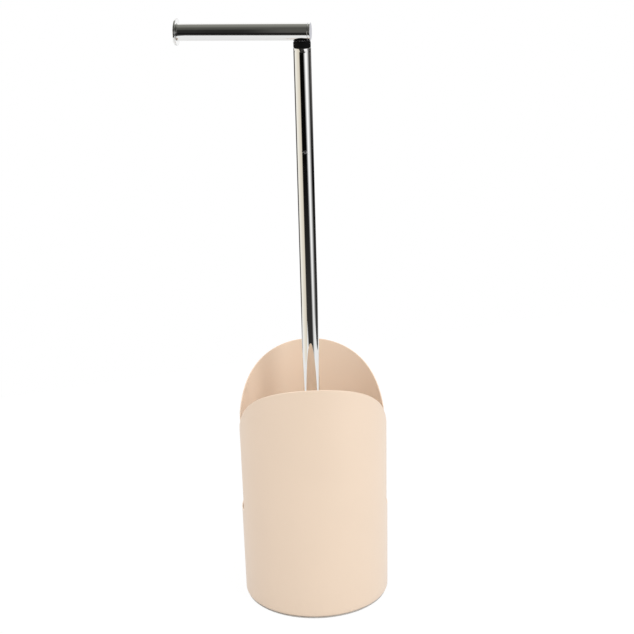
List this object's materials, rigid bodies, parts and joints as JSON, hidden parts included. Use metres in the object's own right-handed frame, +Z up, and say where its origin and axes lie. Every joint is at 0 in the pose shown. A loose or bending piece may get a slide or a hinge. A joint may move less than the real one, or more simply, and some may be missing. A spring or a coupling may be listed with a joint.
{
  "type": "freestanding toilet paper holder",
  "caption": "Weighted round container with arched walls and side slots stores spare rolls; a chromed pole carries a swivelling arm for the roll in use.",
  "frame": {"origin": "on the pole's axis, at the underside of the base pad", "axes": "+Z up along the pole; the container's arched lobes face -Y (front) and +Y, its open slots face -X and +X, and the arm points to -X, swung ten degrees towards +Y"},
  "size_m": [0.218, 0.17, 0.658],
  "materials": {
    "powder_coat": "satin powder coat, peach beige",
    "chrome": "polished",
    "black_nylon": "moulded satin",
    "pad_foam": "matte foam rubber",
    "zinc_steel": "zinc plated"
  },
  "bodies": {
    "stand": {"container_wall": "powder_coat", "base_plate": "powder_coat", "base_pad": "pad_foam", "base_screw": "zinc_steel", "pole_tube": "chrome", "foot_plug": "zinc_steel", "top_bush": "black_nylon"},
    "arm": {"arm_tube": "chrome", "arm_plug": "chrome", "end_flange": "chrome", "swivel_stud": "zinc_steel", "swivel_washer": "zinc_steel", "spring_washer": "zinc_steel", "lock_nut": "zinc_steel"}
  },
  "joints": [
    {"name": "arm_swivel", "type": "hinge", "parent": "stand", "child": "arm", "pos_m": [0, 0, 0.6435], "axis": [0, 0, 1], "continuous": true}
  ]
}
